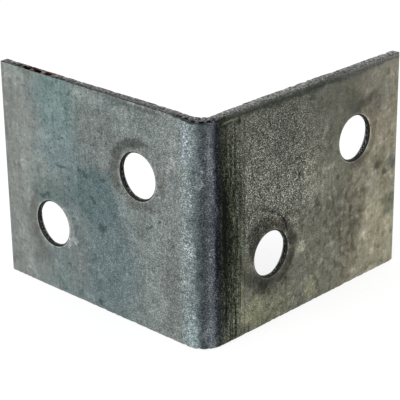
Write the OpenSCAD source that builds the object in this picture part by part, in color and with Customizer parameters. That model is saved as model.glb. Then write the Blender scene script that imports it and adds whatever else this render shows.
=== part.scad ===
// Angle bracket folded from one strip of sheet steel, with four staggered holes.
// It stands on the edge of the strip, with the fold upright along +Z.
// The origin is at the middle of the box around the bracket, on its lower edge.
// The right leg runs along +X and the left leg along +Y, with their outer faces at -Y and -X.

/* [Sheet] */
// Thickness of the sheet
sheet_t = 1.6; // [1.2:0.1:2.5]
// Width of the strip, which is the height of the standing bracket
strip_w = 40; // [32:1:80]
// Radius of the fold on its inner side
fold_inner_r = 2.2; // [0.8:0.1:4]

/* [Legs] */
// Length of the right leg, measured from the outer face of the left leg
right_leg = 50; // [46:0.2:90]
// Length of the left leg, measured from the outer face of the right leg
left_leg = 48.8; // [46:0.2:90]

/* [Holes] */
// Diameter of the narrow part of each hole
hole_d = 8; // [4:0.1:9]
// Distance from the free end of a leg to the centre of its far hole
end_to_hole = 12.2; // [9:0.1:14]
// Distance along a leg between its two holes
hole_step_along = 21.7; // [14:0.1:23]
// Distance across the strip between the low holes and the high holes
hole_step_across = 14.6; // [0:0.1:18]
// Width of the rounding that the punch pulled in round a hole on the outer face
hole_round_w = 0.35; // [0.1:0.05:0.6]
// Depth of that rounding
hole_round_depth = 0.25; // [0.05:0.05:0.3]
// Depth, from the outer face, at which a hole begins to open out
land_end_depth = 0.75; // [0.5:0.05:1]
// Full angle of the cone by which a hole opens out to the inner face
cone_angle = 90; // [60:5:120]

/* [Cut edges] */
// Width of the rounding that the shears pulled in along the outer faces
shear_round_w = 1.1; // [0.3:0.1:1.6]
// Depth of that rounding, measured into the thickness
shear_round_depth = 0.2; // [0.05:0.05:0.4]

/* [Hidden] */
$fn = 96;
// Overshoot that carries each cut clear of the face it opens
clear_of = 1;
fold_outer_r = fold_inner_r + sheet_t;
hole_r = hole_d / 2;
low_z = (strip_w - hole_step_across) / 2;
high_z = (strip_w + hole_step_across) / 2;
right_far_x = right_leg - end_to_hole;
right_near_x = right_far_x - hole_step_along;
left_far_x = left_leg - end_to_hole;
left_near_x = left_far_x - hole_step_along;
cone_slope = tan(cone_angle / 2);
cone_depth = sheet_t - land_end_depth + clear_of;
cone_r = hole_r + cone_depth * cone_slope;

// Radius of an arc that leaves a face tangent and falls by a depth over a width
function arc_r(w, d) = (w * w + d * d) / (2 * d);

// Area between a square corner at the origin and the arc that rounds it.
// The arc leaves the vertical face at x = 0 tangent and ends on y = 0.
module corner_waste(w, d) {
    difference() {
        translate([-clear_of, -clear_of])
            square([d + clear_of, w + clear_of]);
        translate([arc_r(w, d), w])
            circle(r = arc_r(w, d), $fn = 240);
    }
}

// Cut across the strip: outer face at x = 0, inner face at x = sheet_t
module strip_section() {
    difference() {
        square([sheet_t, strip_w]);
        corner_waste(shear_round_w, shear_round_depth);
        translate([0, strip_w])
            mirror([0, 1])
                corner_waste(shear_round_w, shear_round_depth);
    }
}

// Straight leg along +X with its outer face at y = 0 and its free end rounded
module leg(length) {
    difference() {
        translate([fold_outer_r, 0, 0])
            rotate([90, 0, 90])
                linear_extrude(length - fold_outer_r)
                    strip_section();
        translate([length, 0, -clear_of])
            linear_extrude(strip_w + 2 * clear_of)
                rotate([0, 0, 90])
                    corner_waste(shear_round_w, shear_round_depth);
    }
}

// Quarter turn of the strip about the centre line of the fold
module fold() {
    translate([fold_outer_r, fold_outer_r, 0])
        rotate([0, 0, 180])
            rotate_extrude(angle = 90)
                translate([fold_outer_r, 0])
                    mirror([1, 0])
                        strip_section();
}

// Waste of one hole along +Z: outer face at z = 0, inner face at z = sheet_t
module hole_waste() {
    translate([0, 0, -clear_of])
        cylinder(r = hole_r, h = sheet_t + 2 * clear_of);
    rotate_extrude()
        difference() {
            translate([0, -clear_of])
                square([hole_r + hole_round_w, hole_round_depth + clear_of]);
            translate([hole_r + hole_round_w, arc_r(hole_round_w, hole_round_depth)])
                circle(r = arc_r(hole_round_w, hole_round_depth), $fn = 240);
        }
    translate([0, 0, land_end_depth])
        cylinder(r1 = hole_r, r2 = cone_r, h = cone_depth);
}

// Two holes of a leg that runs along +X
module leg_holes(far_x, far_z, near_x, near_z) {
    for (place = [[far_x, far_z], [near_x, near_z]])
        translate([place[0], 0, place[1]])
            rotate([-90, 0, 0])
                hole_waste();
}

// Whole bracket with the sharp outer corner of its two faces on the Z axis
module folded_strip() {
    difference() {
        union() {
            leg(right_leg);
            fold();
            mirror([1, -1, 0])
                leg(left_leg);
        }
        leg_holes(right_far_x, high_z, right_near_x, low_z);
        mirror([1, -1, 0])
            leg_holes(left_far_x, low_z, left_near_x, high_z);
    }
}

module bracket() {
    color("#76786f")
        translate([-right_leg / 2, -left_leg / 2, 0])
            folded_strip();
}

bracket();
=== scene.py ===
import math

import bpy
from mathutils import Matrix, Vector, noise


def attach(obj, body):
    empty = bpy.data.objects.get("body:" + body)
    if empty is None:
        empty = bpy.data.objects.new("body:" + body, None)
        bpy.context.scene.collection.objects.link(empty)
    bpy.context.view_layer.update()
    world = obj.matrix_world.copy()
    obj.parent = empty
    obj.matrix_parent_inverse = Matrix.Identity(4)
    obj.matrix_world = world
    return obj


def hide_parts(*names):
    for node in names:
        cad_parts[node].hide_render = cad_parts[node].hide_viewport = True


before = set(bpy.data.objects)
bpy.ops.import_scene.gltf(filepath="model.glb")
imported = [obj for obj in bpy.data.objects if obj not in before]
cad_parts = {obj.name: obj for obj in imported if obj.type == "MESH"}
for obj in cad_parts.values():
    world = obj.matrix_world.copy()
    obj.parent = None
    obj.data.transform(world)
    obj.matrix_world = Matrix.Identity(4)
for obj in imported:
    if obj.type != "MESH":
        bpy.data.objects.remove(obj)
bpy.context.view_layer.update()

# Steel strip, sheared and punched
# The bracket starts as one flat strip of hot-rolled mild steel, cut on a shear and punched with
# four holes from the side that later faces out. Lengths are millimetres along that outer face,
# counted from the middle of the fold: along the strip, into the thickness and across the strip.
MM = 0.001
SHEET = 1.6
WIDTH = 40.0
RIGHT_LEG = 50.0
LEFT_LEG = 48.8
FOLD_RADIUS = 3.8
HALF_FOLD = FOLD_RADIUS * math.pi / 4
LEFT_END = -(LEFT_LEG - FOLD_RADIUS + HALF_FOLD)
RIGHT_END = RIGHT_LEG - FOLD_RADIUS + HALF_FOLD
END_TO_HOLE = 12.2
HOLE_STEP = 21.7
LOW_HOLE, HIGH_HOLE = 12.7, 27.3
HOLES = [(LEFT_END + END_TO_HOLE, LOW_HOLE), (LEFT_END + END_TO_HOLE + HOLE_STEP, HIGH_HOLE),
         (RIGHT_END - END_TO_HOLE - HOLE_STEP, LOW_HOLE), (RIGHT_END - END_TO_HOLE, HIGH_HOLE)]
HOLE_RADIUS = 4.0
LAND_END = 0.75
SHEAR_ROUND = (1.1, 0.2)
PUNCH_ROUND = (0.35, 0.25)
# Half the side of the square of mesh that is laid out in rings round each hole
RING_FIELD = 6.0
# Spacing of the mesh lines on the flat parts and over the fold
FLAT_STEP, FOLD_STEP = 0.4, 0.2
# Radius to which the corners of the strip are worn
CORNER = 0.3
# Mesh lines close behind a sheared edge, where the steel rounds off
EDGE_LINES = [0, 0.05, 0.12, 0.2, 0.3, 0.42, 0.56, 0.72, 0.9, 1.1, 1.45]
# Radii of the mesh rings round a hole on the outer and inner face
OUTER_RINGS = [5.3, 4.9, 4.6, 4.42, 4.35, 4.27, 4.2, 4.14, 4.09, 4.05, 4.02, 4.0]
INNER_RINGS = [5.5, 5.2, 5.0, 4.9, HOLE_RADIUS + SHEET - LAND_END]
# Depth and radius of the mesh rings down a hole's wall, between its two rims
WALL_RINGS = [(0.4, 4.0), (0.58, 4.0), (LAND_END, 4.0), (0.85, 4.1), (1.0, 4.25), (1.2, 4.45), (1.4, 4.65)]
# Height of the burr along the strip, and how far its foot reaches in from the edge
BURR = [(-28, 0), (-15, 0.13), (-10, 0.22), (-6, 0.12), (-4, 0), (4, 0), (10, 0.28), (16, 0.26), (27, 0.2), (35, 0)]
BURR_FOOT = 0.28
# Shares of the thickness at which the sheared face has its mesh rows
CUT_ROWS = [0.1, 0.22, 0.36, 0.5, 0.65, 0.8, 0.92]


def rounding(gap, size):
    """Depth by which the cutting pulled the face in, at a distance from the cut."""
    width, depth = size
    if gap >= width:
        return 0.0
    radius = (width * width + depth * depth) / (2 * depth)
    return radius - math.sqrt(radius * radius - (width - gap) ** 2)


def ruled(marks):
    """Mesh lines through all marks, close together where the sheet will be folded."""
    lines = []
    for a, b in zip(marks, marks[1:]):
        step = FOLD_STEP if abs(a + b) / 2 < HALF_FOLD else FLAT_STEP
        count = max(1, round((b - a) / step))
        lines += [a + (b - a) * i / count for i in range(count)]
    return lines + [marks[-1]]


def nearest_cut(s, z):
    return min(s - LEFT_END, RIGHT_END - s, z, WIDTH - z)


def burr(s, z):
    """Height of the ragged ridge that the shear pushed out of the inner face along its long edges."""
    gap = min(z, WIDTH - z)
    if gap >= BURR_FOOT:
        return 0.0
    height = 0.0
    for (s0, h0), (s1, h1) in zip(BURR, BURR[1:]):
        if s0 <= s < s1:
            height = h0 + (h1 - h0) * (s - s0) / (s1 - s0)
    return height * (1 + 0.6 * noise.noise((s * 0.8, z * 0.1, 4.4))) * (1 - gap / BURR_FOOT)


def worn(s, z):
    """Rounds off the four corners of the strip."""
    from_end = min(s - LEFT_END, RIGHT_END - s)
    from_edge = min(z, WIDTH - z)
    if from_end >= CORNER or from_edge >= CORNER:
        return s, z
    u, v = 1 - from_end / CORNER, 1 - from_edge / CORNER
    pull_s = CORNER * (u - u * math.sqrt(1 - v * v / 2))
    pull_z = CORNER * (v - v * math.sqrt(1 - u * u / 2))
    return s + math.copysign(pull_s, -s), z + math.copysign(pull_z, WIDTH / 2 - z)


def wander(s, z, d):
    """How far a place moves because the shear left the edges ragged and the fold drew them in."""
    fold_pull = math.exp(-(s / 3.2) ** 2) * (1 - 0.9 * d / SHEET)
    moved = 0.0
    for edge, sign, seed in ((0.0, 1, 3.1), (WIDTH, -1, 8.7)):
        gap = abs(z - edge)
        if gap < 5:
            waves = max(0.0, 0.3 + noise.noise((s * 0.12, seed, 0)))
            nibbled = max(0.0, noise.noise((s * 1.4, seed, d * 1.2)))
            pull = 0.42 if edge else 0.1
            moved += sign * ((1 - gap / 5) ** 2 * (0.04 * waves + pull * fold_pull) + 0.22 * nibbled * math.exp(-gap / 0.3))
    return moved


s_lines = ruled(sorted([LEFT_END + e for e in EDGE_LINES] + [RIGHT_END - e for e in EDGE_LINES] +
                       [h[0] + side * RING_FIELD for h in HOLES for side in (-1, 1)] + [-HALF_FOLD, HALF_FOLD]))
z_lines = []
z_marks = sorted(EDGE_LINES + [WIDTH - e for e in EDGE_LINES] +
                 [h + side * RING_FIELD for h in (LOW_HOLE, HIGH_HOLE) for side in (-1, 1)])
for a, b in zip(z_marks, z_marks[1:]):
    count = max(1, round((b - a) / FLAT_STEP))
    z_lines += [a + (b - a) * i / count for i in range(count)]
z_lines.append(WIDTH)


def line_at(lines, value):
    return min(range(len(lines)), key=lambda i: abs(lines[i] - value))


fields = [(line_at(s_lines, h[0] - RING_FIELD), line_at(s_lines, h[0] + RING_FIELD),
           line_at(z_lines, h[1] - RING_FIELD), line_at(z_lines, h[1] + RING_FIELD)) for h in HOLES]
places, uvs, hole_gaps, depths = [], [], [], []
faces, face_uvs, face_cuts = [], [], []
sharp = set()
# Where each side's pattern lies on the flat map, so that the two faces don't share one
INNER_MAP = 100.0


def vertex(s, d, z, uv):
    worn_s, worn_z = worn(s, z)
    places.append((worn_s, d, worn_z + wander(s, z, d)))
    uvs.append(uv)
    hole_gaps.append(min(math.hypot(s - h[0], z - h[1]) for h in HOLES) - HOLE_RADIUS)
    depths.append(d / SHEET)
    return len(places) - 1


def face(corners, cut=0.0, maps=None):
    faces.append(corners)
    face_uvs.extend(maps or [uvs[c] for c in corners])
    face_cuts.append(cut)


def border(i0, i1, j0, j1):
    """Mesh crossings round a rectangle of lines, anticlockwise from its lower left corner."""
    return ([(i, j0) for i in range(i0, i1)] + [(i1, j) for j in range(j0, j1)] +
            [(i, j1) for i in range(i1, i0, -1)] + [(i0, j) for j in range(j1, j0, -1)])


def lay_side(inner):
    """One face of the strip: a grid of quads, with rings of quads round each hole."""
    shift = INNER_MAP if inner else 0.0
    grid = {}
    for i, s in enumerate(s_lines):
        for j, z in enumerate(z_lines):
            if not any(a < i < b and c < j < e for a, b, c, e in fields):
                d = SHEET + burr(s, z) if inner else rounding(nearest_cut(s, z), SHEAR_ROUND)
                grid[i, j] = vertex(s, d, z, (s, z + shift))
    quads = []
    for i in range(len(s_lines) - 1):
        for j in range(len(z_lines) - 1):
            if not any(a <= i < b and c <= j < e for a, b, c, e in fields):
                quads.append((grid[i, j], grid[i + 1, j], grid[i + 1, j + 1], grid[i, j + 1]))
    rims = []
    for (hs, hz), field in zip(HOLES, fields):
        loop = [grid[c] for c in border(*field)]
        turn = [math.radians(-135 + 360 * k / len(loop)) for k in range(len(loop))]
        for radius in (INNER_RINGS if inner else OUTER_RINGS):
            d = SHEET if inner else rounding(radius - HOLE_RADIUS, PUNCH_ROUND)
            ring = [vertex(hs + radius * math.cos(a), d, hz + radius * math.sin(a),
                           (hs + radius * math.cos(a), hz + radius * math.sin(a) + shift)) for a in turn]
            for k in range(len(loop)):
                n = (k + 1) % len(loop)
                quads.append((loop[k], loop[n], ring[n], ring[k]))
            loop = ring
        rims.append((hs, hz, loop, turn))
    for q in quads:
        face(q[::-1] if inner else q)
    return [grid[c] for c in border(0, len(s_lines) - 1, 0, len(z_lines) - 1)], rims


def mark_sharp(loop):
    for a, b in zip(loop, loop[1:] + loop[:1]):
        sharp.add((min(a, b), max(a, b)))


outer_border, outer_rims = lay_side(False)
inner_border, inner_rims = lay_side(True)


def laid_open(s, z, depth, at_end):
    """Flat map of a sheared face: hinged on the outer edge, the ends carried on round the corners."""
    if at_end:
        return s + math.copysign(WIDTH - z, s), WIDTH + depth
    return s, z + math.copysign(depth, z - WIDTH / 2)


# The sheared faces: smooth where the blade sheared, torn and grainy below that
row = outer_border
for share in CUT_ROWS + [1.0]:
    last = share == 1.0
    new_row = []
    for k, v in enumerate(outer_border):
        s, d, z = places[v]
        out_s = (s > RIGHT_END - 1e-6) - (s < LEFT_END + 1e-6)
        out_z = (uvs[v][1] > WIDTH - 1e-6) - (uvs[v][1] < 1e-6)
        depth = d + (SHEET - d) * share
        u = (uvs[v][0] + out_s * depth, uvs[v][1] + out_z * depth)
        if last:
            new_row.append(inner_border[k])
            continue
        torn = 0.03 * (0.3 + noise.noise((u[0] * 3.1, u[1] * 3.1, 5)) + 0.4 * noise.noise((u[0] * 8, u[1] * 8, 2)))
        torn = max(0.0, torn * min(1.0, share * 3))
        new_row.append(vertex(uvs[v][0] - out_s * torn, depth, uvs[v][1] - out_z * torn, u))
    for k in range(len(row)):
        n = (k + 1) % len(row)
        (s0, z0), (s1, z1) = uvs[outer_border[k]], uvs[outer_border[n]]
        at_end = abs(s0 - s1) < 1e-6
        face((row[n], row[k], new_row[k], new_row[n]), 1.0,
             [laid_open(s1, z1, places[row[n]][1], at_end), laid_open(s0, z0, places[row[k]][1], at_end),
              laid_open(s0, z0, places[new_row[k]][1], at_end), laid_open(s1, z1, places[new_row[n]][1], at_end)])
    row = new_row
mark_sharp(outer_border)
mark_sharp(inner_border)

# The walls of the holes: a short straight land, then a cone that opens to the inner face
for (hs, hz, rim, turn), inner_rim in zip(outer_rims, inner_rims):
    row = rim
    row_map = [uvs[v] for v in rim]
    for depth, radius in WALL_RINGS + [(SHEET, None)]:
        new_map = [(hs + (HOLE_RADIUS - depth) * math.cos(a), hz + (HOLE_RADIUS - depth) * math.sin(a)) for a in turn]
        if radius is None:
            new_row = inner_rim[2]
        else:
            new_row = []
            for a, u in zip(turn, new_map):
                r = radius - 0.02 * (0.5 + noise.noise((u[0] * 4, u[1] * 4, 1)))
                new_row.append(vertex(hs + r * math.cos(a), depth, hz + r * math.sin(a), u))
        for k in range(len(row)):
            n = (k + 1) % len(row)
            face((row[k], row[n], new_row[n], new_row[k]), 2.0, [row_map[k], row_map[n], new_map[n], new_map[k]])
        if depth == LAND_END:
            mark_sharp(new_row)
        row, row_map = new_row, new_map
    mark_sharp(inner_rim[2])

blank = bpy.data.meshes.new("blank")
blank.from_pydata([(s * MM, d * MM, z * MM) for s, d, z in places], [], faces)
blank.uv_layers.new(name="laid_flat").uv.foreach_set("vector", [x for uv in face_uvs for x in uv])
blank.attributes.new("along", "FLOAT", "CORNER").data.foreach_set("value", [uv[0] for uv in face_uvs])
blank.attributes.new("across", "FLOAT", "CORNER").data.foreach_set("value", [uv[1] for uv in face_uvs])
blank.attributes.new("cut", "FLOAT", "FACE").data.foreach_set("value", face_cuts)
blank.attributes.new("hole_gap", "FLOAT", "POINT").data.foreach_set("value", hole_gaps)
blank.attributes.new("depth", "FLOAT", "POINT").data.foreach_set("value", depths)
blank.attributes.new("sharp_edge", "BOOLEAN", "EDGE").data.foreach_set(
    "value", [tuple(sorted(e.vertices)) in sharp for e in blank.edges])
blank.shade_smooth()
bracket = bpy.data.objects.new("bracket_sheet", blank)
bpy.context.scene.collection.objects.link(bracket)


def add(tree, kind, inputs=None, **settings):
    """Adds a node, sets it up, fills or links its inputs, and gives back its outputs."""
    node = tree.nodes.new(kind)
    for name, value in settings.items():
        setattr(node, name, value)
    for key, value in (inputs or {}).items():
        if isinstance(value, bpy.types.NodeSocket):
            tree.links.new(value, node.inputs[key])
        else:
            node.inputs[key].default_value = value
    return node.outputs


def linear(code):
    """Linear colour from an sRGB hex value."""
    parts = [int(code[i:i + 2], 16) / 255 for i in (1, 3, 5)]
    return [c / 12.92 if c <= 0.04045 else ((c + 0.055) / 1.055) ** 2.4 for c in parts] + [1.0]


# Mill surface of the steel
# Bare hot-rolled mild steel with a thin dull oxide, stains and scratches. Light and shade are painted
# into its colour as well: a highlight before the fold and shade past it, a lighter left leg and a darker
# right one, light and dark arcs round the holes, bright hole rims, shaded hole walls, and highlight and
# shadow lines along the top edge.
steel = bpy.data.materials.new("bare mild steel, dull stained mill surface")
steel.use_nodes = True
t = steel.node_tree
t.nodes.clear()
flat = add(t, "ShaderNodeUVMap", uv_map="laid_flat")[0]
s_true = add(t, "ShaderNodeAttribute", attribute_name="along")[2]
z_true = add(t, "ShaderNodeAttribute", attribute_name="across")[2]
cut = add(t, "ShaderNodeAttribute", attribute_name="cut")[2]
hole_gap = add(t, "ShaderNodeAttribute", attribute_name="hole_gap")[2]
depth = add(t, "ShaderNodeAttribute", attribute_name="depth")[2]


def cloud(size, seed, detail=2.0, long=1.0):
    """Noise with patches of a size in millimetres, some of it drawn out up the strip."""
    spot = add(t, "ShaderNodeMapping", {"Vector": flat, "Location": (seed * 17.3, seed * 9.1, seed * 3.7),
                                        "Scale": (1 / size, 1 / (size * long), 1)})[0]
    return add(t, "ShaderNodeTexNoise", {"Vector": spot, "Scale": 1.0, "Detail": detail})[0]


def pushed(s, z, size, seed, reach):
    """A place on the strip pushed about by noise, so that what is laid out there gets ragged edges."""
    moved = []
    for way, number in ((s, seed), (z, seed + 40)):
        centred = add(t, "ShaderNodeMath", {0: cloud(size, number), 1: 0.5}, operation="SUBTRACT")[0]
        moved.append(add(t, "ShaderNodeMath", {0: centred, 1: reach, 2: way}, operation="MULTIPLY_ADD")[0])
    return moved


s_soft, z_soft = pushed(*pushed(s_true, z_true, 5.0, 1, 5.0), 1.1, 2, 1.6)
s_crisp, z_crisp = pushed(s_true, z_true, 1.2, 3, 0.7)
ragged = add(t, "ShaderNodeCombineXYZ", {0: s_soft, 1: z_soft})[0]
crisp = add(t, "ShaderNodeCombineXYZ", {0: s_crisp, 1: z_crisp})[0]


def lay(below, finish, pattern, none, full, strength=1.0):
    """Lays a finish over the tone, from none to all of it as a pattern goes from one value to another.
    The finish is a colour, another tone, or the number that the tone's brightness is multiplied by."""
    if isinstance(finish, float):
        finish = add(t, "ShaderNodeHueSaturation", {"Saturation": finish ** -0.45, "Value": finish, "Color": below})[0]
    share = add(t, "ShaderNodeMapRange", {0: pattern, 1: none, 2: full, 4: strength}, interpolation_type="SMOOTHSTEP", clamp=False)[0]
    finish = linear(finish) if isinstance(finish, str) else finish
    return add(t, "ShaderNodeMix", {0: share, 6: below, 7: finish}, data_type="RGBA")[2]


def near(place, s, z, half_s, half_z):
    """Nearness to a place on the strip: 1 in its middle and a half at the rim of an ellipse."""
    seen_from = add(t, "ShaderNodeMapping", {"Vector": place, "Location": (s, z, 0),
                                             "Scale": (2 * half_s, 2 * half_z, 1)}, vector_type="TEXTURE")[0]
    return add(t, "ShaderNodeTexGradient", {0: seen_from}, gradient_type="SPHERICAL")[1]


def arc(below, finish, s, z, radius, width, middle, half, strength):
    """A curved mark round a place, over a stretch of so many degrees to either side of its middle."""
    turned = add(t, "ShaderNodeMapping", {"Vector": crisp, "Location": (s, z, 0), "Rotation": (0, 0, math.radians(middle)),
                                          "Scale": (2 * radius, 2 * radius, 1)}, vector_type="TEXTURE")[0]
    reach = add(t, "ShaderNodeTexGradient", {0: turned}, gradient_type="SPHERICAL")[1]
    peak = add(t, "ShaderNodeMath", {0: reach, 1: 0.5}, operation="PINGPONG")[0]
    ahead = add(t, "ShaderNodeTexGradient", {0: turned}, gradient_type="LINEAR")[1]
    patchy = add(t, "ShaderNodeMapRange", {0: patches, 1: 0.35, 2: 0.6, 3: 0.6 * strength, 4: strength},
                 interpolation_type="SMOOTHSTEP", clamp=False)[0]
    stretch = add(t, "ShaderNodeMapRange", {0: ahead, 1: 0.5 * math.cos(math.radians(half)),
                                            2: 0.5 * math.cos(math.radians(half * 0.6)), 4: patchy},
                  interpolation_type="SMOOTHSTEP", clamp=False)[0]
    return lay(below, finish, peak, 0.5 - 0.5 * width / radius, 0.5 - 0.18 * width / radius, stretch)


def tones(place, stops, smooth="B_SPLINE"):
    """Tones blended along the strip, each at its place in millimetres."""
    first, last = stops[0][0], stops[-1][0]
    share = add(t, "ShaderNodeMapRange", {0: place, 1: first, 2: last}, clamp=False)[0]
    ramp = t.nodes.new("ShaderNodeValToRGB")
    t.links.new(share, ramp.inputs[0])
    ramp.color_ramp.interpolation = smooth
    while len(ramp.color_ramp.elements) < len(stops):
        ramp.color_ramp.elements.new(0.5)
    for element, (stop, code) in zip(ramp.color_ramp.elements, stops):
        element.position = (stop - first) / (last - first)
        element.color = linear(code)
    return ramp.outputs[0]


# Tones along the left leg, across the fold and along the right leg, where their borders lean. The lighter,
# bluer left leg and the darker, olive right leg are partly oxide and partly painted light and shade, as
# from a cool light at the left. Across the fold the tones darken to near black just past the bend, painted
# shade for a dark reflection of the bend, with a faint painted highlight before it.
LEFT_TONES_AND_LIGHT = [(-48, "#838784"), (-43, "#8B908D"), (-39, "#7F8683"), (-36, "#7A8685"), (-31, "#768281"),
              (-26, "#707D7D"), (-21, "#6D7A7A"), (-16, "#7B8482"), (-10, "#818885"), (-5, "#7D8482")]
FOLD_SHEEN_AND_SHADE = [(-6.0, "#7D8482"), (-4.5, "#7D8583"), (-3.5, "#7F8887"), (-2.7, "#7E8988"), (-2.1, "#727E7D"),
              (-1.6, "#666F70"), (-1.0, "#535C5D"), (-0.5, "#474E50"), (0.0, "#3E4446"), (0.5, "#4A5052"),
              (1.0, "#565C61"), (1.5, "#53575F"), (1.9, "#363B46"), (2.3, "#171B28"), (3.0, "#101317"),
              (3.6, "#151B14"), (4.3, "#131A0B"), (5.0, "#2A3020"), (6.0, "#505644"), (7.0, "#565A4B"),
              (8.0, "#6A6C5E"), (9.0, "#6A6C60"), (10.0, "#646559")]
RIGHT_TONES_AND_SHADE = [(9, "#63645A"), (14, "#6B6C62"), (20, "#6A6B61"), (27, "#6F6F63"), (34, "#6C6B5E"),
               (38, "#7E7A6B"), (42, "#8E8977"), (49, "#8A8776")]
tone = tones(s_soft, LEFT_TONES_AND_LIGHT)
tone = lay(tone, tones(s_crisp, FOLD_SHEEN_AND_SHADE, "LINEAR"), s_soft, -7.0, -4.5)
lean = add(t, "ShaderNodeMath", {0: z_soft, 1: -0.15, 2: s_soft}, operation="MULTIPLY_ADD")[0]
lean = add(t, "ShaderNodeMath", {0: lean, 1: 3.0}, operation="ADD")[0]
tone = lay(tone, tones(lean, RIGHT_TONES_AND_SHADE), s_soft, 7.5, 10.0)
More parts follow.
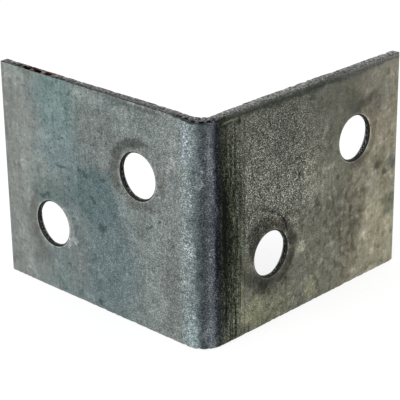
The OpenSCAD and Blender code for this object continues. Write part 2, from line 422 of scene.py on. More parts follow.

# Stains and worn patches, and along the fold painted highlight and painted shade: place along and across the strip,
# half their length and height, softness, strength
STAINS_AND_SHADING = [
    # Bluish oxide and rubbed patches of the left leg
    (-33.5, 35.5, 5.2, 7.0, 0.35, 0.75, "#778B89"), (-34.5, 27.5, 4.5, 4.5, 0.4, 0.6, "#7B8B8D"),
    (-25.0, 21.0, 6.5, 5.0, 0.4, 0.8, "#5F7072"), (-36.0, 18.6, 3.8, 2.4, 0.4, 0.6, "#62736F"),
    (-24.0, 33.0, 5.0, 5.5, 0.5, 0.5, "#7F7F7B"), (-20.5, 9.0, 6.0, 8.0, 0.5, 0.6, "#68777B"),
    (-29.5, 9.0, 3.2, 5.5, 0.5, 0.5, "#777C7A"), (-33.0, 2.5, 3.0, 3.5, 0.5, 0.5, "#75847F"),
    (-41.2, 13.0, 1.6, 4.0, 0.5, 0.4, "#75736D"), (-38.5, 6.5, 3.5, 2.2, 0.5, 0.7, "#69706C"),
    (-42.5, 23.0, 2.2, 8.0, 0.5, 0.6, "#939995"), (-6.5, 9.0, 1.8, 11.0, 0.5, 0.6, "#6F7472"),
    (-8.8, 28.5, 1.0, 4.0, 0.5, 0.5, "#686763"), (-11.0, 22.7, 2.2, 0.8, 0.5, 0.4, "#6E6E6A"),
    (-19.4, 27.9, 1.0, 1.5, 0.2, 0.6, "#63615E"), (-21.9, 27.2, 1.3, 0.8, 0.5, 0.5, "#959490"),
    (-32.2, 16.1, 0.8, 0.3, 0.4, 0.7, "#A5ACA8"), (-30.6, 10.6, 0.6, 0.9, 0.4, 0.9, "#A3AEAB"), (-45.3, 37.7, 1.2, 0.4, 0.5, 0.7, "#A8ACA9"),
    (-46.0, 36.1, 0.9, 0.4, 0.5, 0.6, "#A6AAA7"),
    (-14.4, 22.6, 2.4, 1.5, 0.5, 0.7, "#676864"), (-14.5, 32.7, 2.6, 0.9, 0.5, 0.5, "#5E625E"),
    (-38.3, 22.6, 2.0, 2.5, 0.5, 0.7, "#8F9894"), (-30.0, 17.6, 2.2, 2.2, 0.5, 0.5, "#5F6C6A"),
    (-21.5, 7.0, 2.2, 2.5, 0.5, 0.4, "#5F7074"), (-18.0, 36.6, 2.5, 1.7, 0.5, 0.8, "#8E9591"),
    (-6.5, 32.2, 1.8, 2.8, 0.5, 0.5, "#8F9592"), (-17.8, 27.5, 0.7, 1.8, 0.5, 0.5, "#5C5E5B"),
    (-46.0, 33.5, 1.8, 5.5, 0.5, 0.4, "#7A7F7C"), (-42.3, 9.5, 1.8, 4.5, 0.5, 0.4, "#959A96"),
    (-30.0, 12.5, 2.0, 2.2, 0.5, 0.4, "#5D6968"), (-18.0, 22.5, 2.0, 2.2, 0.5, 0.4, "#8A9391"),
    (-14.0, 18.5, 1.9, 3.5, 0.5, 0.35, "#666D6A"), (-44.0, 38.9, 4.0, 1.0, 0.5, 0.5, "#9AA5A0"), (-25.5, 38.4, 3.5, 1.8, 0.5, 0.6, "#929A96"),
    # Places along the fold: light ones before it are painted highlight, near-black ones just past it painted shade, the
    # rest rubbed and pressed patches
    (-3.0, 35.5, 1.2, 3.5, 0.5, 0.6, "#89949A"), (-2.5, 3.5, 1.4, 4.5, 0.5, 0.6, "#8C9D9F"),
    (-3.0, 21.0, 0.9, 6.0, 0.5, 0.5, "#899495"), (4.2, 25.0, 0.7, 4.2, 0.4, 0.9, "#0D1608"),
    (4.4, 18.7, 1.5, 2.4, 0.4, 0.8, "#111A0B"), (3.9, 13.5, 0.6, 2.4, 0.4, 0.8, "#131C0E"),
    (5.6, 33.0, 1.1, 1.6, 0.5, 0.5, "#585944"), (6.6, 37.0, 2.9, 2.6, 0.6, 0.65, "#65675B"),
    (6.0, 7.5, 1.0, 2.2, 0.5, 0.6, "#33362A"), (6.0, 12.6, 1.0, 2.6, 0.5, 0.6, "#2A2D22"), (4.2, 2.2, 1.2, 3.0, 0.5, 0.75, "#686D60"), (1.2, 2.0, 1.0, 4.0, 0.5, 0.55, "#737B7F"),
    (-2.6, 22.5, 0.8, 2.2, 0.5, 0.5, "#56605F"), (-2.6, 7.5, 0.8, 2.2, 0.5, 0.45, "#566063"), (2.4, 32.5, 0.7, 2.3, 0.5, 0.4, "#3A3E44"),
    (2.4, 22.5, 0.6, 2.2, 0.5, 0.4, "#31353C"), (4.2, 7.8, 0.8, 2.0, 0.5, 0.5, "#383B32"), (8.0, 7.6, 1.0, 2.2, 0.5, 0.4, "#6A6B5C"),
    (10.5, 37.2, 1.5, 1.5, 0.5, 0.5, "#6E6F64"), (1.2, 32.5, 0.6, 2.5, 0.5, 0.5, "#6B7378"), (1.2, 22.5, 0.6, 2.5, 0.5, 0.5, "#3C4249"),
    (-4.2, 24.5, 0.8, 5.5, 0.5, 0.35, "#6B7472"), (8.0, 17.2, 1.0, 2.2, 0.5, 0.5, "#6A6C60"), (10.5, 7.4, 1.4, 2.4, 0.5, 0.6, "#7C7D6D"),
    (5.8, 2.0, 1.2, 2.2, 0.5, 0.7, "#828474"), (5.8, 37.5, 1.0, 1.6, 0.5, 0.5, "#6E7064"), (7.8, 33.0, 1.0, 2.4, 0.5, 0.4, "#66675C"), (2.6, 17.0, 0.8, 5.0, 0.5, 0.5, "#0B0D11"), (1.2, 17.3, 0.6, 2.0, 0.5, 0.5, "#656B74"), (8.0, 6.6, 1.1, 3.2, 0.5, 0.8, "#8A8B78"),
    (-1.2, 30.5, 0.7, 5.5, 0.5, 0.7, "#727A7C"), (4.1, 27.0, 1.0, 3.8, 0.5, 0.9, "#091004"), (2.5, 5.5, 0.8, 6.5, 0.5, 0.6, "#383D3F"),
    (7.4, 26.6, 1.9, 4.0, 0.6, 0.5, "#2A2C24"), (8.4, 3.4, 1.4, 2.0, 0.5, 0.7, "#8A8C78"), (8.3, 4.5, 1.6, 5.0, 0.5, 0.7, "#6F715F"),
    (10.7, 15.8, 1.3, 2.8, 0.5, 0.8, "#26271F"), (10.3, 8.6, 1.0, 2.2, 0.5, 0.3, "#3C3D32"),
    (8.4, 17.0, 1.2, 1.6, 0.5, 0.5, "#5A665B"), (9.3, 13.6, 0.9, 1.2, 0.5, 0.5, "#584F3D"),
    (10.8, 3.5, 2.2, 3.0, 0.5, 0.8, "#8A8B72"), (6.2, 10.0, 1.2, 2.4, 0.5, 0.5, "#25271C"),
    (7.8, 5.0, 0.8, 2.4, 0.5, 0.6, "#A0A18A"), (1.75, 25.0, 0.35, 2.4, 0.5, 0.5, "#686C71"),
    (2.0, 10.0, 0.45, 2.4, 0.5, 0.5, "#656C73"),
    # Right leg: dark scale above, smears beside the holes and a warm worn end
    (20.0, 38.0, 15.0, 6.5, 0.5, 0.6, "#56574E"), (15.0, 3.0, 5.0, 3.5, 0.5, 0.6, "#71725B"),
    (25.0, 23.0, 5.0, 5.0, 0.5, 0.5, "#76776A"), (13.2, 18.3, 2.6, 2.2, 0.5, 0.8, "#33342C"),
    (36.8, 33.8, 3.6, 2.2, 0.6, 0.65, "#4A4B44"), (42.2, 30.0, 0.9, 4.5, 0.5, 0.5, "#746D5E"),
    (44.0, 36.0, 4.5, 4.0, 0.5, 0.6, "#75736A"), (45.5, 28.0, 2.2, 4.0, 0.5, 0.6, "#8D8777"),
    (44.0, 7.5, 5.5, 7.0, 0.5, 0.6, "#9A9680"), (41.8, 12.8, 1.8, 2.6, 0.5, 0.6, "#A19D88"),
    (44.0, 20.4, 1.3, 1.0, 0.5, 0.8, "#46443A"), (46.2, 18.6, 0.8, 0.6, 0.5, 0.7, "#4F4D41"),
    (48.3, 20.0, 0.9, 1.4, 0.5, 0.7, "#54595A"), (47.5, 11.9, 1.9, 1.7, 0.5, 0.7, "#5C604F"),
    (37.4, 11.0, 2.7, 4.6, 0.5, 0.5, "#565347"), (15.6, 17.9, 1.6, 0.9, 0.5, 0.8, "#4B4634"),
    (17.8, 17.4, 1.6, 2.0, 0.5, 0.8, "#3A3A2F"), (13.0, 7.6, 2.2, 1.6, 0.5, 0.4, "#3A3A30"),
    (22.6, 14.9, 1.5, 0.8, 0.6, 0.8, "#93937F"), (23.0, 11.4, 1.5, 0.9, 0.6, 0.8, "#9A9A86"),
    (20.0, 10.8, 0.5, 1.6, 0.5, 0.7, "#8E8E78"), (28.0, 22.5, 4.5, 2.2, 0.5, 0.6, "#838476"),
    (26.0, 3.0, 2.2, 2.2, 0.5, 0.7, "#87866F"), (38.2, 22.2, 2.3, 1.5, 0.5, 0.8, "#56534A"),
    (38.6, 32.6, 1.8, 1.3, 0.5, 0.6, "#44433B"), (46.4, 7.4, 1.9, 2.3, 0.5, 0.7, "#ADA993"),
    (42.2, 17.4, 1.8, 1.8, 0.5, 0.5, "#9A968A"), (30.0, 32.5, 3.0, 2.2, 0.5, 0.4, "#5E5F56"), (42.0, 32.6, 1.9, 2.5, 0.5, 0.6, "#64625A"),
    (18.9, 8.0, 1.2, 2.6, 0.5, 0.6, "#565649"), (10.2, 6.5, 1.3, 2.0, 0.5, 0.7, "#74756A"),
    # The last mark on the next line, near black beside the fold, is painted shade.
    (8.6, 0.9, 1.3, 1.0, 0.5, 0.6, "#5A5B4E"), (8.0, 21.0, 1.2, 3.2, 0.5, 0.5, "#33352C"), (22.0, 16.0, 3.0, 4.0, 0.5, 0.5, "#5C5D50"), (5.2, 16.7, 1.0, 3.2, 0.5, 0.9, "#0A1106"),
    (18.5, 32.0, 3.0, 6.0, 0.5, 0.55, "#50514A"), (20.5, 27.5, 3.0, 3.0, 0.5, 0.5, "#56574E"), (19.8, 12.5, 0.9, 2.3, 0.5, 0.4, "#55564A"), (22.0, 22.5, 1.9, 2.3, 0.5, 0.5, "#525348"),
    (26.0, 7.6, 1.9, 2.2, 0.5, 0.4, "#5A5B50"), (30.0, 27.5, 1.9, 2.3, 0.5, 0.35, "#5B5C52"), (42.0, 12.5, 1.9, 2.3, 0.5, 0.4, "#ABA792")]
for s, z, half_s, half_z, soft, strength, code in STAINS_AND_SHADING:
    tone = lay(tone, code, near(ragged, s, z, half_s, half_z), 0.5 - soft / 2, 0.5 + soft / 2, strength)

# Short dark flecks where scale was pressed in, and short upright streaks on the right leg
FLECKS = [(-12.0, 19.5, 0.9, 0.3), (-9.4, 20.1, 0.6, 0.4), (-5.9, 17.2, 0.6, 0.4), (-26.4, 24.9, 0.6, 0.7),
          (-21.9, 24.8, 0.9, 0.4), (-28.5, 25.0, 0.8, 0.5), (-24.4, 20.0, 0.7, 0.5), (-23.5, 16.2, 1.2, 0.6),
          (-33.5, 24.2, 0.8, 0.35), (-32.8, 28.9, 0.5, 0.5), (-29.7, 37.9, 0.5, 0.3), (-31.4, 6.2, 0.6, 0.3),
          (-23.5, 1.4, 0.8, 0.4), (-37.0, 18.6, 1.1, 0.35), (30.1, 17.2, 0.35, 2.2), (26.3, 18.0, 0.5, 1.4),
          (29.0, 14.5, 0.4, 0.7), (33.5, 12.5, 0.4, 1.6), (25.4, 38.0, 0.7, 0.5), (22.0, 25.5, 0.5, 0.4)]
for s, z, half_s, half_z in FLECKS:
    tone = lay(tone, 0.45, near(ragged, s, z, half_s, half_z), 0.25, 0.75, 0.8)

# Light and dark arcs round the holes, patchy: painted highlight and painted shade of a shallow dish round each hole,
# which the mesh does not have; and dark scratches beside the low right one
coarse, fine = cloud(0.9, 7, 3.0), cloud(0.21, 8, 1.0, 0.8)
L_FAR, L_NEAR, R_NEAR, R_FAR = HOLES
patches = cloud(1.8, 35, 2.0)
tone = arc(tone, "#646764", *L_NEAR, 5.3, 2.2, 138, 92, 0.75)
tone = arc(tone, "#4A4E4B", *L_NEAR, 5.8, 1.0, 112, 46, 0.85)
tone = arc(tone, "#5C5F5B", *L_NEAR, 5.5, 1.5, 185, 50, 0.7)
tone = arc(tone, "#7E807C", *L_NEAR, 4.5, 0.5, 195, 100, 0.85)
tone = arc(tone, "#595852", *L_FAR, 5.5, 1.4, 190, 65, 0.6)
tone = arc(tone, "#3A3A2F", *R_NEAR, 5.4, 1.3, -5, 50, 0.7)
tone = arc(tone, "#33342B", *R_NEAR, 5.6, 2.4, 245, 65, 0.7)
tone = arc(tone, "#51493A", *R_FAR, 5.4, 0.8, 0, 60, 0.5)
tone = arc(tone, "#2A2A22", *R_NEAR, 5.0, 1.2, 275, 70, 0.6)
tone = arc(tone, "#2A2A22", *R_NEAR, 5.3, 1.4, 5, 60, 0.45)
tone = arc(tone, "#2C281F", *R_NEAR, 4.75, 0.8, 90, 60, 0.55)
tone = arc(tone, "#585A56", *L_NEAR, 5.0, 1.0, 270, 60, 0.4)
tone = arc(tone, "#A4A8A5", *L_FAR, 4.7, 0.9, 0, 55, 0.6)
tone = arc(tone, "#0F0F0B", 13.3, 14.6, 6.1, 0.25, 42, 46, 0.85)
tone = arc(tone, "#1E1E17", 13.0, 14.6, 6.7, 0.25, 66, 30, 0.6)

# Mottle of the oxide, a few millimetres wide, then a coarse grain and the fine grain of the rolled face,
# which shows less toward the free ends
tone = lay(tone, 0.62, cloud(2.6, 5, 4.0), 0.5, 0.25, 0.75)
tone = lay(tone, 1.5, cloud(2.9, 6, 4.0), 0.5, 0.75, 0.6)
tone = lay(tone, 0.7, cloud(0.7, 49, 2.0, 9), 0.5, 0.25, 0.5)
tone = lay(tone, 1.25, cloud(0.6, 50, 2.0, 11), 0.5, 0.75, 0.5)
tone = lay(tone, 0.55, coarse, 0.52, 0.28, 0.6)
tone = lay(tone, 1.5, cloud(0.8, 10, 2.0), 0.52, 0.75, 0.6)
grainy = add(t, "ShaderNodeMapRange", {0: near(flat, 0, 20, 26, 60), 1: 0.05, 2: 0.95, 3: 0.1, 4: 0.66},
             interpolation_type="SMOOTHSTEP", clamp=False)[0]
tone = lay(tone, 2.1, fine, 0.49, 0.68, grainy)
tone = lay(tone, 0.4, fine, 0.51, 0.33, grainy)
pitted = add(t, "ShaderNodeMapRange", {0: near(flat, -30, 28, 13, 14), 1: 0.15, 2: 0.75, 3: 0.2, 4: 0.9},
             interpolation_type="SMOOTHSTEP", clamp=False)[0]
tone = lay(tone, 0.5, cloud(0.55, 37, 1.0), 0.38, 0.3, pitted)

right_side = add(t, "ShaderNodeMapRange", {0: near(ragged, 25, 14, 15, 18), 1: 0.35, 2: 0.6, 4: 0.8},
                 interpolation_type="SMOOTHSTEP", clamp=False)[0]
tone = lay(tone, 0.5, cloud(1.1, 38, 2.0, 1.3), 0.5, 0.3, right_side)
tone = lay(tone, 1.6, cloud(1.2, 39, 2.0, 1.2), 0.52, 0.72, right_side)

# Open granular scale on the upper right: dark pits, with bright flecks between them that are painted glints
scale_and_glints = add(t, "ShaderNodeMapRange", {0: near(ragged, 15.5, 27.5, 11.5, 13.5), 1: 0.25, 2: 0.75, 4: 0.9},
                 interpolation_type="SMOOTHSTEP", clamp=False)[0]
tone = lay(tone, 0.1, cloud(0.24, 11, 1.0, 0.7), 0.52, 0.41, scale_and_glints)
tone = lay(tone, 3.8, cloud(0.19, 12, 1.0, 0.7), 0.51, 0.62, scale_and_glints)

# Worn, blotched end of the right leg
worn_end = add(t, "ShaderNodeMapRange", {0: lean, 1: 30.0, 2: 40.0, 4: 0.8}, interpolation_type="SMOOTHSTEP", clamp=False)[0]
tone = lay(tone, 0.6, cloud(1.7, 17, 3.0), 0.5, 0.3, worn_end)
tone = lay(tone, 1.35, cloud(1.9, 18, 3.0), 0.5, 0.7, worn_end)

# Lines that the shoulder of the die drew beside the fold, painted shade just past the fold, painted highlight flecks
# before it, and a speckle over its middle
die_lines = add(t, "ShaderNodeMapRange", {0: near(crisp, 5.7, 16, 3.0, 26), 1: 0.42, 2: 0.75, 4: 0.9},
                interpolation_type="SMOOTHSTEP", clamp=False)[0]
tone = lay(tone, "#090C05", cloud(0.42, 13, 1.0, 14), 0.51, 0.41, die_lines)
tone = lay(tone, "#656A58", cloud(0.3, 14, 1.0, 4), 0.53, 0.7, die_lines)
broken = add(t, "ShaderNodeMapRange", {0: cloud(0.8, 48, 2.0, 4), 1: 0.35, 2: 0.62, 3: 0.2, 4: 0.8},
             interpolation_type="SMOOTHSTEP", clamp=False)[0]
for n in range(10):
    middle, half_z = (19, 80) if n < 5 else (0.5, 1.9)
    tone = lay(tone, 0.38, near(flat, 4.35 + 1.08 * n, middle, 0.25, half_z), 0.3, 0.9, broken)
for n in range(3):
    tone = lay(tone, 1.5, near(flat, 4.95 + 1.08 * n, 19, 0.22, 80), 0.3, 0.9, broken)
# Painted shade: a dark reflection of the bend just past the fold, with pale and black specks
shade_band = add(t, "ShaderNodeMapRange", {0: near(crisp, 4.8, 16, 3.2, 34), 1: 0.3, 2: 0.65, 4: 0.85},
                interpolation_type="SMOOTHSTEP", clamp=False)[0]
tone = lay(tone, "#6A705E", cloud(0.21, 42, 1.0, 1.2), 0.56, 0.7, shade_band)
tone = lay(tone, "#040601", cloud(0.24, 43, 1.0, 1.5), 0.52, 0.4, shade_band)
# Painted shade: near-black lines in the bend and just past it
tone = lay(tone, "#0A0C1C", near(crisp, 2.5, 20, 0.7, 18), 0.3, 0.7, 0.4)
tone = lay(tone, "#040404", near(crisp, 3.9, 21, 0.45, 7), 0.25, 0.6, 0.9)
tone = lay(tone, "#050505", near(crisp, 4.2, 9, 0.3, 6), 0.3, 0.7, 0.5)
tone = lay(tone, 0.35, near(crisp, 4.6, 19, 0.75, 8), 0.3, 0.7, 0.85)
# Painted highlight before the fold, broken into bright flecks with dark grain
highlight_flecks = add(t, "ShaderNodeMapRange", {0: near(crisp, -3.0, 20, 1.9, 30), 1: 0.4, 2: 0.7, 4: 0.8},
             interpolation_type="SMOOTHSTEP", clamp=False)[0]
tone = lay(tone, 2.1, cloud(0.24, 15, 1.0, 0.6), 0.52, 0.66, highlight_flecks)
tone = lay(tone, 0.55, cloud(0.3, 19, 1.0, 0.6), 0.5, 0.34, highlight_flecks)
pressed = add(t, "ShaderNodeMapRange", {0: near(crisp, 0.8, 20, 1.7, 30), 1: 0.4, 2: 0.7, 4: 0.7},
              interpolation_type="SMOOTHSTEP", clamp=False)[0]
tone = lay(tone, 2.6, cloud(0.23, 16, 1.0, 0.7), 0.5, 0.68, pressed)
tone = lay(tone, 0.45, cloud(0.26, 20, 1.0, 0.7), 0.5, 0.34, pressed)

# A green-black band below the top edge of the right leg, a painted highlight along that edge, painted
# shade along the rolled top edge of the left leg, and a painted shadow line along the top edge round the fold
right_leg_side = add(t, "ShaderNodeMapRange", {0: s_soft, 1: 2.2, 2: 6.3, 4: 0.85}, interpolation_type="SMOOTHSTEP", clamp=False)[0]
band_tone = lay(linear("#32362F"), "#4C504A", coarse, 0.5, 0.65)
band_tone = lay(band_tone, "#51534F", s_soft, 28, 36)
band_tone = lay(band_tone, 0.55, cloud(0.35, 46, 1.0), 0.5, 0.36)
band_tone = lay(band_tone, 1.5, cloud(0.3, 47, 1.0), 0.52, 0.68)
below_top = add(t, "ShaderNodeMath", {0: z_crisp, 1: z_soft}, operation="ADD")[0]
tone = lay(tone, band_tone, below_top, 2 * WIDTH - 3.8, 2 * WIDTH - 2.2, right_leg_side)
# Painted highlight along the top edge of the right leg
tone = lay(tone, 1.8, z_true, WIDTH - 0.8, WIDTH - 0.1, right_leg_side)
# Painted shade along the rolled top edge of the left leg
tone = lay(tone, "#555855", near(crisp, -14.0, WIDTH - 0.8, 6.5, 0.42), 0.35, 0.7, 0.6)
tone = lay(tone, "#5F625F", near(crisp, -20.5, WIDTH - 0.45, 2.5, 0.25), 0.35, 0.7, 0.5)
# A pale patch below the top edge near the right end
tone = lay(tone, "#8E8A7C", near(crisp, 46.5, WIDTH - 1.45, 3.6, 0.6), 0.3, 0.7, 0.7)
# Painted shadow line along the top edge round the fold
tone = lay(tone, "#151616", near(crisp, -2.8, WIDTH - 0.1, 4.6, 0.45), 0.4, 0.75, 0.9)
# A pale scratch and a dark spot below the top edge of the right leg
tone = lay(tone, "#828270", near(crisp, 5.3, WIDTH - 1.15, 1.8, 0.18), 0.35, 0.7, 0.6)
tone = lay(tone, "#121210", near(crisp, 7.4, WIDTH - 1.75, 0.5, 0.5), 0.3, 0.7, 0.7)

# The inner face, which no tool rubbed: plain scale with a mottle and a brighter line inside the fold
inner = lay(linear("#7E827D"), "#646866", cloud(7.0, 21, 4.0, 1.6), 0.55, 0.35, 0.8)
inner = lay(inner, "#93968F", cloud(3.6, 22, 4.0, 1.4), 0.5, 0.7, 0.6)
INNER_STAINS = [(-30, 24, 6, 8, "#687879"), (-18, 10, 5, 6, "#74827F"), (-42, 30, 3, 9, "#8F928B"), (12, 33, 6, 5, "#5E6058"),
                (24, 14, 5, 7, "#7A7A6C"), (40, 10, 6, 8, "#8D8A78"), (33, 34, 5, 4, "#6A6A5F"), (-10, 30, 3, 6, "#858A87")]
for s, z, half_s, half_z, code in INNER_STAINS:
    inner = lay(inner, code, near(ragged, s, z + INNER_MAP, half_s, half_z), 0.2, 0.8, 0.4)
inner = lay(inner, 0.72, cloud(1.0, 23, 3.0, 9), 0.5, 0.3, 0.6)
inner = lay(inner, 1.35, cloud(0.8, 24, 3.0, 12), 0.5, 0.7, 0.6)
inner = lay(inner, 0.7, hole_gap, 3.2, 1.2, 0.6)
inner = lay(inner, 0.6, coarse, 0.52, 0.3, 0.7)
inner = lay(inner, 1.8, fine, 0.5, 0.7, 0.7)
inner = lay(inner, 0.5, fine, 0.5, 0.32, 0.7)
inner = lay(inner, "#95988F", near(ragged, 0, INNER_MAP + 20, 1.5, 60), 0.3, 0.8, 0.35)
tone = lay(tone, inner, depth, 0.49, 0.51)

# Rims of the holes: a thin painted highlight round each rim, then painted shade down a dark granular wall
tone = lay(tone, 1.8, hole_gap, 0.55, 0.36, 0.7)
tone = lay(tone, "#2B2B28", hole_gap, 0.3, 0.23)
shaded_wall = lay(linear("#1F2424"), "#8A918E", cloud(0.3, 31, 1.0), 0.5, 0.7, 0.8)
shaded_wall = lay(shaded_wall, "#6B6B67", depth, 0.47, 0.65)
tone = lay(tone, shaded_wall, cut, 1.4, 1.6)

# Sheared faces: torn grey grain, darker toward the outer face, with rust at one place
torn_in = lay(linear("#707271"), "#858482", s_soft, 1, 6)
entry = lay(linear("#454645"), "#626362", s_soft, 1, 6)
sheared = lay(entry, torn_in, depth, 0.0, 0.9)
sheared = lay(sheared, 0.75, near(crisp, 32.0, WIDTH + 1.0, 5.0, 1.5), 0.3, 0.7)
gritty = add(t, "ShaderNodeMapRange", {0: near(flat, 0.6, WIDTH, 48.6, 400), 1: 0.48, 2: 0.52, 3: 0.4, 4: 0.9},
             interpolation_type="SMOOTHSTEP", clamp=False)[0]
sheared = lay(sheared, 0.17, cloud(0.42, 33, 1.0, 1.5), 0.52, 0.41, gritty)
sheared = lay(sheared, 2.3, cloud(0.38, 34, 1.0, 1.4), 0.51, 0.62, gritty)
RUST = [(-41.2, 40.65, 0.7, 0.75, "#100202"), (-42.2, 40.8, 0.4, 0.4, "#1C0C0A"), (-39.2, 40.95, 0.6, 0.5, "#1A0505"),
        (-38.3, 40.45, 0.6, 0.55, "#060202"), (-40.7, 40.15, 0.5, 0.3, "#140807"), (-40.1, 41.2, 0.5, 0.3, "#2C1512"),
        (-41.1, 41.2, 0.4, 0.25, "#3A201C"), (-35.8, 40.6, 0.8, 0.5, "#160C0B"), (-36.5, 41.2, 0.5, 0.3, "#4A2420"),
        (-35.6, 41.4, 0.8, 0.25, "#5C3E3B"), (-43.4, 40.7, 0.5, 0.55, "#1A1C1B"), (-45.0, 40.75, 0.35, 0.35, "#2A2C2B"),
        (-38.0, 40.1, 0.35, 0.25, "#1A1A1A"), (-39.5, 41.35, 0.7, 0.25, "#4A302E"), (-33.2, 40.4, 0.5, 0.4, "#2A2C2B"),
        (-32.0, 40.5, 0.5, 0.35, "#262827"), (-1.6, 40.2, 0.45, 0.4, "#181818"), (-0.2, 40.1, 0.45, 0.45, "#101010"),
        (1.2, 40.1, 0.4, 0.4, "#161616"), (-4.6, 40.2, 0.6, 0.35, "#1A1A1A"), (-3.2, 40.4, 0.35, 0.35, "#1C1C1C")]
rusty = 0.0
for s, z, half_s, half_z, code in RUST:
    spot = near(crisp, s, z, half_s, half_z)
    sheared = lay(sheared, code, spot, 0.35, 0.5)
    rusty = add(t, "ShaderNodeMath", {0: spot, 1: rusty}, operation="MAXIMUM")[0]
in_shear = add(t, "ShaderNodeMath", {0: cut, 1: 1.0}, operation="PINGPONG")[0]
tone = lay(tone, sheared, in_shear, 0.4, 0.6)
outside = add(t, "ShaderNodeMapRange", {0: depth, 1: 0.4, 2: 0.3}, interpolation_type="SMOOTHSTEP", clamp=False)[0]
tone = lay(tone, sheared, z_true, WIDTH - 0.2, WIDTH - 0.1, outside)

roughness = add(t, "ShaderNodeMapRange", {0: coarse, 1: 0.25, 2: 0.75, 3: 0.48, 4: 0.66})[0]
metal = add(t, "ShaderNodeMapRange", {0: rusty, 1: 0.5, 2: 0.35})[0]
dull = add(t, "ShaderNodeMapRange", {0: rusty, 1: 0.35, 2: 0.5, 3: 0.15, 4: 0.0})[0]
relief = add(t, "ShaderNodeMath", {0: fine, 1: coarse}, operation="ADD")[0]
bumps = add(t, "ShaderNodeBump", {"Strength": 0.35, "Distance": 0.05 * MM, "Height": relief})[0]
shader = add(t, "ShaderNodeBsdfPrincipled", {"Base Color": tone, "Metallic": metal, "Roughness": roughness,
                                             "Specular IOR Level": dull, "Normal": bumps})[0]
add(t, "ShaderNodeOutputMaterial", {"Surface": shader})

# Folding the strip
# A press pushed the punched strip into a V-shaped die along the middle, so it bent through 90 degrees
# round the nose of the punch. The tree below does the same to the flat mesh.
press = bpy.data.node_groups.new("fold in the press", "GeometryNodeTree")
press.interface.new_socket("Strip", in_out="INPUT", socket_type="NodeSocketGeometry")
knobs = {}
for name, value in (("Outer radius", FOLD_RADIUS * MM), ("Half fold", HALF_FOLD * MM), ("Right leg", RIGHT_LEG * MM),
                    ("Left leg", LEFT_LEG * MM), ("Unevenness", 0.02 * MM)):
    knobs[name] = press.interface.new_socket(name, in_out="INPUT", socket_type="NodeSocketFloat")
    knobs[name].default_value = value
knobs["Steel"] = press.interface.new_socket("Steel", in_out="INPUT", socket_type="NodeSocketMaterial")
press.interface.new_socket("Bracket", in_out="OUTPUT", socket_type="NodeSocketGeometry")
given = add(press, "NodeGroupInput")


def reckon(operation, a, b=0.0, c=0.0):
    """One step of arithmetic in the press."""
    return add(press, "ShaderNodeMath", {0: a, 1: b, 2: c}, operation=operation)[0]


flat_place = add(press, "ShaderNodeSeparateXYZ", {0: add(press, "GeometryNodeInputPosition")[0]})
along, into, up = flat_place
half = given["Half fold"]
in_fold = reckon("MINIMUM", reckon("MAXIMUM", along, reckon("MULTIPLY", half, -1.0)), half)
angle = reckon("MULTIPLY_ADD", reckon("DIVIDE", in_fold, half), math.pi / 4, math.radians(225))
past_fold = reckon("SUBTRACT", along, in_fold)
uneven = add(press, "ShaderNodeTexNoise", {"Vector": add(press, "GeometryNodeInputPosition")[0], "Scale": 90.0, "W": 4.0},
             noise_dimensions="4D")[0]
sunk = reckon("MULTIPLY_ADD", uneven, given["Unevenness"], into)
reach = reckon("SUBTRACT", given["Outer radius"], sunk)
cosine, sine = reckon("COSINE", angle), reckon("SINE", angle)
x = reckon("SUBTRACT", reckon("MULTIPLY", reach, cosine), reckon("MULTIPLY", past_fold, sine))
y = reckon("ADD", reckon("MULTIPLY", reach, sine), reckon("MULTIPLY", past_fold, cosine))
x = reckon("ADD", x, reckon("SUBTRACT", given["Outer radius"], reckon("DIVIDE", given["Right leg"], 2.0)))
y = reckon("ADD", y, reckon("SUBTRACT", given["Outer radius"], reckon("DIVIDE", given["Left leg"], 2.0)))
folded = add(press, "GeometryNodeSetPosition", {"Geometry": given["Strip"],
             "Position": add(press, "ShaderNodeCombineXYZ", {0: x, 1: y, 2: up})[0]})[0]
whole = add(press, "GeometryNodeRealizeInstances", {0: folded})[0]
dressed = add(press, "GeometryNodeSetMaterial", {"Geometry": whole, "Material": given["Steel"]})[0]
add(press, "NodeGroupOutput", {0: dressed})
fold = bracket.modifiers.new("fold", "NODES")
fold.node_group = press
fold[knobs["Steel"].identifier] = steel
for name, value in (("Outer radius", FOLD_RADIUS * MM), ("Half fold", HALF_FOLD * MM), ("Right leg", RIGHT_LEG * MM),
                    ("Left leg", LEFT_LEG * MM), ("Unevenness", 0.02 * MM)):
    fold[knobs[name].identifier] = value
folded_mesh = bpy.data.meshes.new_from_object(bracket.evaluated_get(bpy.context.evaluated_depsgraph_get()))
bracket.modifiers.remove(fold)
bracket.data = folded_mesh
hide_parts("bracket")
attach(bracket, "root")

# Pale floor
# A wide matt white table. It reads as white to the camera and keeps the bracket's soft shadow.
board = bpy.data.materials.new("matt white board")
board.use_nodes = True
b = board.node_tree
b.nodes.clear()
ray = add(b, "ShaderNodeLightPath")
seen = add(b, "ShaderNodeMath", {0: ray["Is Camera Ray"], 1: ray["Is Glossy Ray"]}, operation="MAXIMUM")[0]
seen = add(b, "ShaderNodeMath", {0: seen, 1: ray["Is Transmission Ray"]}, operation="MAXIMUM")[0]
plain = add(b, "ShaderNodeBsdfDiffuse", {"Color": linear("#E4E4E4")})[0]
shade = add(b, "ShaderNodeBsdfDiffuse", {"Color": (0.3, 0.3, 0.3, 1)})[0]
glow = add(b, "ShaderNodeEmission", {"Color": (1, 1, 1, 1), "Strength": 0.74})[0]
lit = add(b, "ShaderNodeAddShader", {0: shade, 1: glow})[0]
add(b, "ShaderNodeOutputMaterial", {"Surface": add(b, "ShaderNodeMixShader", {0: seen, 1: plain, 2: lit})[0]})
FLOOR_HALF = 3.0
floor_mesh = bpy.data.meshes.new("floor")
floor_mesh.from_pydata([(-FLOOR_HALF, -FLOOR_HALF, 0), (FLOOR_HALF, -FLOOR_HALF, 0), (FLOOR_HALF, FLOOR_HALF, 0),
                        (-FLOOR_HALF, FLOOR_HALF, 0)], [], [(0, 1, 2, 3)])
floor_mesh.materials.append(board)
floor = bpy.data.objects.new("floor", floor_mesh)
bpy.context.scene.collection.objects.link(floor)

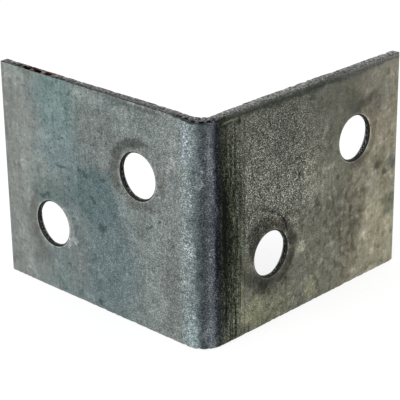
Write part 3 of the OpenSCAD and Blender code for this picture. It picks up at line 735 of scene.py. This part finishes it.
# Room light
# An even pale room. It gives soft light, and the camera and the metal see it as white.
room = bpy.data.worlds.new("pale room")
room.use_nodes = True
w = room.node_tree
w.nodes.clear()
ray = add(w, "ShaderNodeLightPath")
seen = add(w, "ShaderNodeMath", {0: ray["Is Camera Ray"], 1: ray["Is Glossy Ray"]}, operation="MAXIMUM")[0]
seen = add(w, "ShaderNodeMath", {0: seen, 1: ray["Is Transmission Ray"]}, operation="MAXIMUM")[0]
strength = add(w, "ShaderNodeMapRange", {0: seen, 3: 0.75, 4: 1.0})[0]
add(w, "ShaderNodeOutputWorld", {"Surface": add(w, "ShaderNodeBackground", {"Color": (1, 1, 1, 1), "Strength": strength})[0]})
bpy.context.scene.world = room

# Two soft boxes, the stronger one at the left
for name, place, size, watts in (("left soft box", (-0.75, -0.15, 0.55), 0.7, 5.0),
                                 ("right soft box", (0.35, -0.8, 0.5), 0.6, 1.0)):
    lamp = bpy.data.lights.new(name, "AREA")
    lamp.size = size
    lamp.energy = watts
    box = bpy.data.objects.new(name, lamp)
    box.location = place
    box.rotation_euler = Vector(place).to_track_quat("Z", "Y").to_euler()
    bpy.context.scene.collection.objects.link(box)

# Camera, at the photograph's viewing angle: it looks down on the outer corner of the fold
CAMERA_PLACE = Vector((-0.186502, -0.180199, 0.120741))
AZIMUTH, ELEVATION, ROLL = math.radians(-45.888), math.radians(22.586), math.radians(-0.753)
back = Vector((math.sin(AZIMUTH) * math.cos(ELEVATION), -math.cos(AZIMUTH) * math.cos(ELEVATION), math.sin(ELEVATION)))
lens = bpy.data.cameras.new("camera")
lens.sensor_width = 36.0
lens.lens = 139.85
lens.clip_start, lens.clip_end = 0.01, 20.0
camera = bpy.data.objects.new("camera", lens)
camera.matrix_world = (Matrix.Translation(CAMERA_PLACE) @ back.to_track_quat("Z", "Y").to_matrix().to_4x4() @
                       Matrix.Rotation(ROLL, 4, "Z"))
bpy.context.scene.collection.objects.link(camera)
bpy.context.scene.camera = camera
bpy.context.scene.view_settings.view_transform = "Standard"
